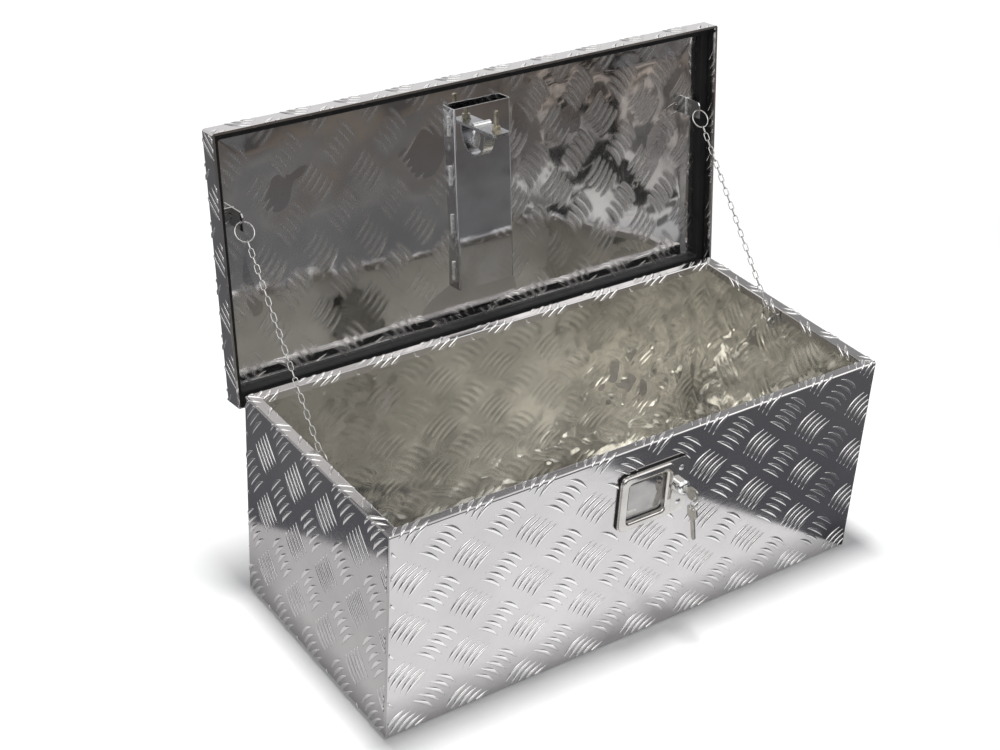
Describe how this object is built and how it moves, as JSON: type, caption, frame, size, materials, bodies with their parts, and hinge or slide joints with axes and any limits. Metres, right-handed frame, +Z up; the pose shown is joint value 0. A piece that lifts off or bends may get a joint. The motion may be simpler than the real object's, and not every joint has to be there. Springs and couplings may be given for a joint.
{
  "type": "aluminium tool box",
  "caption": "Long tread-plate tool box with a hinged tray lid held open by side chains, a rubber lid seal, a paddle latch with a hook and bolt striker, and a key lock.",
  "frame": {"origin": "middle of the underside of the body, on the surface it stands on", "axes": "X along the length with the lock side positive, Y from the latched front (-Y) to the hinged rear (+Y), Z up"},
  "size_m": [0.777, 0.4661, 0.64],
  "materials": {
    "tread_aluminium": "bright, with raised five-bar tread",
    "bright_aluminium": "bright mill finish",
    "weld_metal": "rippled weld bead",
    "bright_steel": "bright brushed",
    "polished_steel": "polished stainless",
    "zinc_steel": "yellow zinc plate",
    "hinge_steel": "bright rolled",
    "rivet_metal": "satin domed heads",
    "spring_steel": "drawn wire",
    "chain_steel": "bright zinc plate",
    "lock_chrome": "mirror",
    "key_nickel": "dull nickel",
    "black_rubber": "matte"
  },
  "bodies": {
    "box": {"body_shell": "tread_aluminium", "hinge_leaf_body": "hinge_steel", "hinge_pin": "hinge_steel", "hinge_rivets_body": "rivet_metal", "body_chain_tab_left": "bright_aluminium", "body_chain_tab_right": "bright_aluminium", "body_chain_ring_left": "chain_steel", "body_chain_ring_right": "chain_steel", "latch_gasket": "black_rubber", "latch_pan": "polished_steel", "latch_rivets": "rivet_metal", "latch_bracket": "bright_steel", "paddle_pin": "zinc_steel", "paddle_spring": "spring_steel", "hook_pivot": "zinc_steel", "hook_spring": "spring_steel", "lock_barrel": "lock_chrome", "lock_nut": "zinc_steel"},
    "lid": {"lid_shell": "tread_aluminium", "lid_seal": "black_rubber", "lid_channel": "bright_aluminium", "channel_welds": "weld_metal", "striker_plate": "bright_steel", "striker_brace": "bright_steel", "striker_weld": "weld_metal", "striker_bolt": "zinc_steel", "striker_washer": "zinc_steel", "striker_nut": "zinc_steel", "hinge_leaf_lid": "hinge_steel", "hinge_rivets_lid": "rivet_metal", "lid_chain_tab_left": "bright_aluminium", "lid_chain_tab_right": "bright_aluminium", "lid_tab_welds": "weld_metal"},
    "chain_left": {"chain_left": "chain_steel", "chain_ring_left": "chain_steel"},
    "chain_right": {"chain_right": "chain_steel", "chain_ring_right": "chain_steel"},
    "paddle": {"paddle": "polished_steel"},
    "hook": {"catch_hook": "zinc_steel"},
    "plug": {"lock_plug": "lock_chrome", "lock_cam": "zinc_steel", "lock_cam_screw": "zinc_steel", "key": "key_nickel"},
    "key_ring": {"key_ring": "spring_steel"},
    "spare_key": {"spare_key": "key_nickel"}
  },
  "joints": [
    {"name": "lid_hinge", "type": "hinge", "parent": "box", "child": "lid", "pos_m": [0, 0.175, 0.2875], "axis": [1, 0, 0], "range_deg": [0, 97.4], "deforming": ["chain_left", "chain_ring_left", "chain_right", "chain_ring_right"]},
    {"name": "chain_left_swing", "type": "hinge", "parent": "lid", "child": "chain_left", "pos_m": [-0.359, 0.21012, 0.52294], "axis": [1, 0, 0], "range_deg": [-44, 0]},
    {"name": "chain_right_swing", "type": "hinge", "parent": "lid", "child": "chain_right", "pos_m": [0.359, 0.21012, 0.52294], "axis": [1, 0, 0], "range_deg": [-44, 0]},
    {"name": "paddle_pull", "type": "hinge", "parent": "box", "child": "paddle", "pos_m": [-0.0075, -0.1684, 0.246], "axis": [-1, 0, 0], "range_deg": [0, 30], "stiffness_Nm_per_rad": 0.12, "springref_deg": -20.05, "deforming": ["paddle_spring", "hook_spring"]},
    {"name": "hook_swing", "type": "hinge", "parent": "box", "child": "hook", "pos_m": [-0.0085, -0.14, 0.228], "axis": [0, 1, 0], "range_deg": [0, 27]},
    {"name": "plug_turn", "type": "hinge", "parent": "box", "child": "plug", "pos_m": [0.0467, -0.17, 0.2265], "axis": [0, -1, 0], "range_deg": [0, 90]},
    {"name": "ring_swing", "type": "hinge", "parent": "plug", "child": "key_ring", "pos_m": [0.0467, -0.2077, 0.22205], "axis": [1, 0, 0], "range_deg": [-20, 15]},
    {"name": "spare_slide", "type": "hinge", "parent": "key_ring", "child": "spare_key", "pos_m": [0.0467, -0.2077, 0.21515], "axis": [0, -1, 0], "range_deg": [-90, 0]}
  ],
  "couplings": [
    {"joint": "chain_left_swing", "follows": "lid_hinge", "ratio": -0.45},
    {"joint": "chain_right_swing", "follows": "lid_hinge", "ratio": -0.45},
    {"joint": "hook_swing", "follows": "paddle_pull", "ratio": 0.9},
    {"joint": "spare_slide", "follows": "plug_turn", "ratio": -1}
  ]
}
